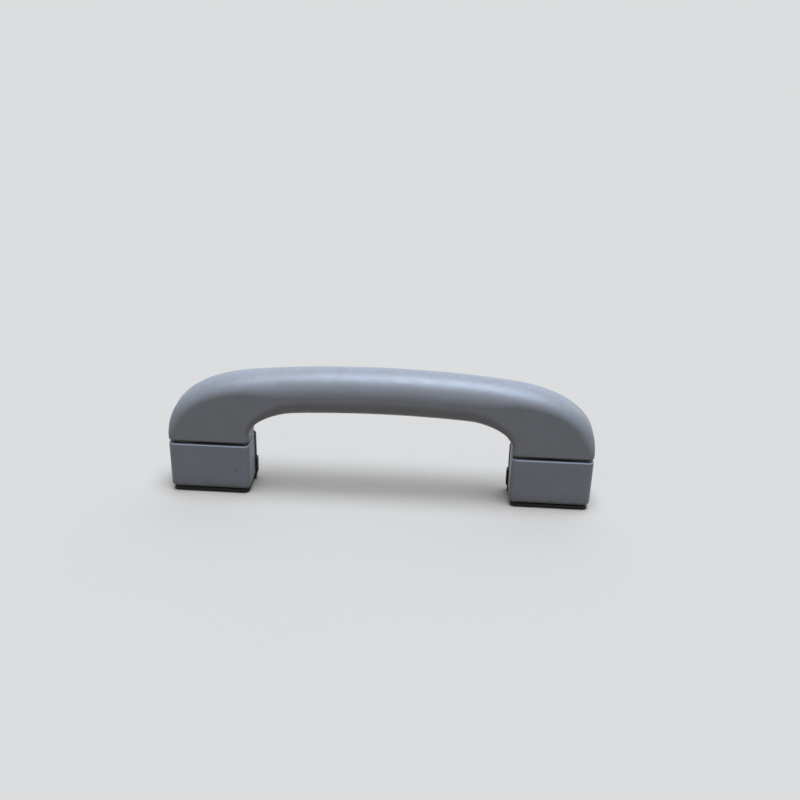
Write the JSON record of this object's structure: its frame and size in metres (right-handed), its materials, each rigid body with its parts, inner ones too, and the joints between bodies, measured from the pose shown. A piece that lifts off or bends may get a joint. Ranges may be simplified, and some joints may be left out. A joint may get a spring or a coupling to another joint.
{
  "type": "roof grab handle",
  "caption": "Folding roof grab handle: a bowed moulded grip on two spring-return hinge brackets, with pull-off screw covers.",
  "frame": {"origin": "bottom centre of the box round the handle as it stands on its two feet", "axes": "+X along the handle, -Y towards the passenger, +Y towards the roof that it is screwed to, +Z from the feet to the bow of the folded grip"},
  "size_m": [0.2268, 0.0206, 0.072],
  "materials": {
    "grey_plastic": "satin, fine grain",
    "black_plastic": "matte",
    "white_acetal": "smooth",
    "steel": "bright zinc",
    "spring_steel": "oiled",
    "rubber": "matte"
  },
  "bodies": {
    "brackets": {"left_bracket": "black_plastic", "right_bracket": "black_plastic", "left_inner_bush": "white_acetal", "left_outer_bush": "white_acetal", "right_inner_bush": "white_acetal", "right_outer_bush": "white_acetal", "left_screw_sleeve": "steel", "right_screw_sleeve": "steel", "left_stop_pad": "rubber", "right_stop_pad": "rubber", "left_return_spring": "spring_steel", "right_damper_rotor": "white_acetal"},
    "grip": {"grip": "grey_plastic", "left_pivot_pin": "steel", "right_pivot_pin": "steel", "right_damper_barrel": "black_plastic"},
    "left_cover": {"left_screw_cover": "grey_plastic"},
    "right_cover": {"right_screw_cover": "grey_plastic"}
  },
  "joints": [
    {"name": "grip_fold", "type": "hinge", "parent": "brackets", "child": "grip", "pos_m": [0, -0.0043, 0.041], "axis": [1, 0, 0], "range_deg": [0, 90], "stiffness_Nm_per_rad": 0.25, "springref_deg": -20.05, "deforming": ["left_return_spring"]},
    {"name": "left_cover_pull", "type": "slide", "parent": "brackets", "child": "left_cover", "axis": [0, -1, 0], "range_m": [0, 0.03]},
    {"name": "right_cover_pull", "type": "slide", "parent": "brackets", "child": "right_cover", "axis": [0, -1, 0], "range_m": [0, 0.03]}
  ]
}
